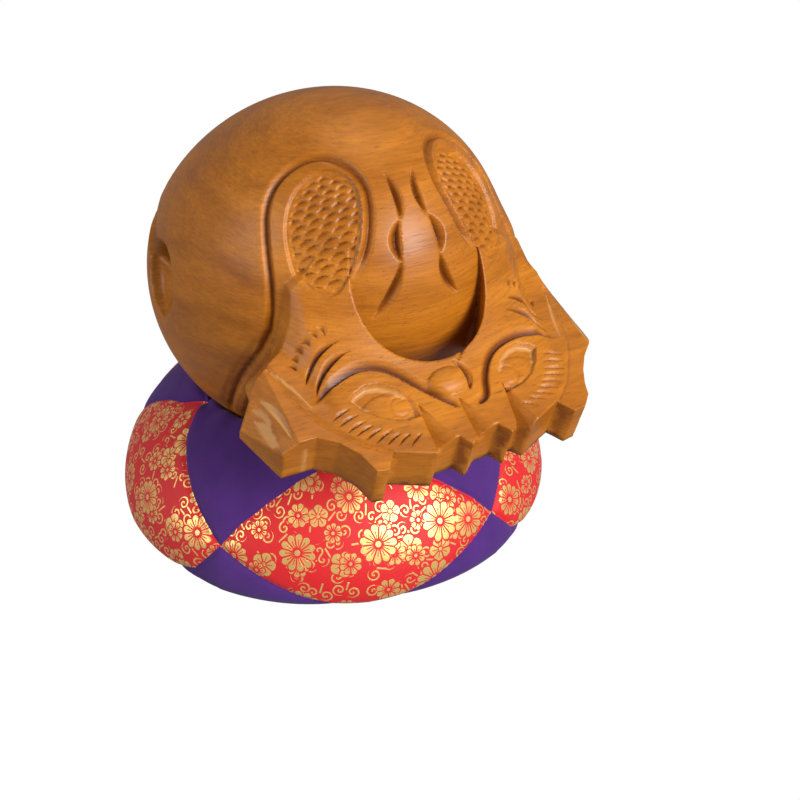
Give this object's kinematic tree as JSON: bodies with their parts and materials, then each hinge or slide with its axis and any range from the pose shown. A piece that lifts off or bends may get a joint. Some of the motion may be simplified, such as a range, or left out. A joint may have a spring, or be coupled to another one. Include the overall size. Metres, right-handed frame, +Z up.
{
  "type": "mokugyo",
  "caption": "Carved wooden temple drum, hollow with a slit and side sound holes, a ring handle of facing dragon heads, on a round padded patchwork cushion.",
  "frame": {"origin": "middle of the cushion's flat underside, on the surface it stands on", "axes": "+Z up, -Y towards the handle with the heads, +Y towards the slit, X from sound hole to sound hole"},
  "size_m": [0.1962, 0.231, 0.1964],
  "materials": {
    "wood": "satin, hand-rubbed honey brown",
    "cloth": "plain violet cloth with red and gold brocade panels"
  },
  "bodies": {
    "root": {"drum": "wood", "cushion": "cloth"}
  },
  "joints": []
}
